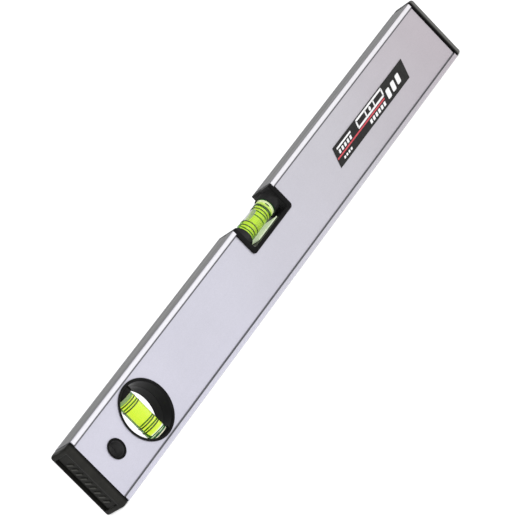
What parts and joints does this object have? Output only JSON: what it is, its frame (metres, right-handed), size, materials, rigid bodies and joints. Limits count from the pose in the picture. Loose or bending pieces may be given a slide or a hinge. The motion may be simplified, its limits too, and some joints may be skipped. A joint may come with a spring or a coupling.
{
  "type": "spirit level",
  "caption": "Box-section spirit level with a horizontal vial in a notch of the top edge, a plumb vial in a round window and a hanging hole.",
  "frame": {"origin": "on the lower measuring edge, below the middle of the body", "axes": "+X along the length from the plumb vial's end to the label's end, +Y from the labelled front face to the back face, +Z from the lower to the upper measuring edge"},
  "size_m": [0.45, 0.018, 0.048],
  "materials": {
    "silver_body": "satin silver coating",
    "black_plastic": "fine moulded grain",
    "label_print": "printed black label with a red stripe",
    "clear_acrylic": "clear polished acrylic",
    "yellow_green_spirit": "clear fluorescent liquid",
    "air": "air bubble in the liquid",
    "cream_plug": "smooth moulded plastic",
    "dark_line": "dark band",
    "pale_strip": "smooth pale plastic"
  },
  "bodies": {
    "level_body": {"box_extrusion": "silver_body", "end_cap_left": "black_plastic", "end_cap_right": "black_plastic", "front_label": "label_print", "hanging_bush_front": "black_plastic", "hanging_bush_back": "black_plastic", "level_holder_front": "black_plastic", "level_holder_back": "black_plastic", "level_reflector": "pale_strip", "level_vial_tube": "clear_acrylic", "level_fluid": "yellow_green_spirit", "level_vial_plug": "cream_plug", "level_fill_pin": "black_plastic", "level_vial_line_1": "dark_line", "level_vial_line_2": "dark_line", "level_vial_line_3": "dark_line", "level_vial_line_4": "dark_line", "plumb_window_front": "black_plastic", "plumb_window_back": "black_plastic", "plumb_vial_tube": "clear_acrylic", "plumb_fluid": "yellow_green_spirit", "plumb_vial_plug": "cream_plug", "plumb_fill_pin": "black_plastic", "plumb_vial_line_1": "dark_line", "plumb_vial_line_2": "dark_line", "plumb_vial_line_3": "dark_line", "plumb_vial_line_4": "dark_line"},
    "level_bubble_body": {"level_bubble": "air"},
    "plumb_bubble_body": {"plumb_bubble": "air"}
  },
  "joints": [
    {"name": "level_bubble_travel", "type": "slide", "parent": "level_body", "child": "level_bubble_body", "axis": [1, 0, 0], "range_m": [-0.0085, 0.0085], "stiffness_N_per_m": 0.5},
    {"name": "plumb_bubble_travel", "type": "slide", "parent": "level_body", "child": "plumb_bubble_body", "axis": [0, 0, 1], "range_m": [-0.025, 0], "stiffness_N_per_m": 1.8, "springref_m": 0.012}
  ]
}
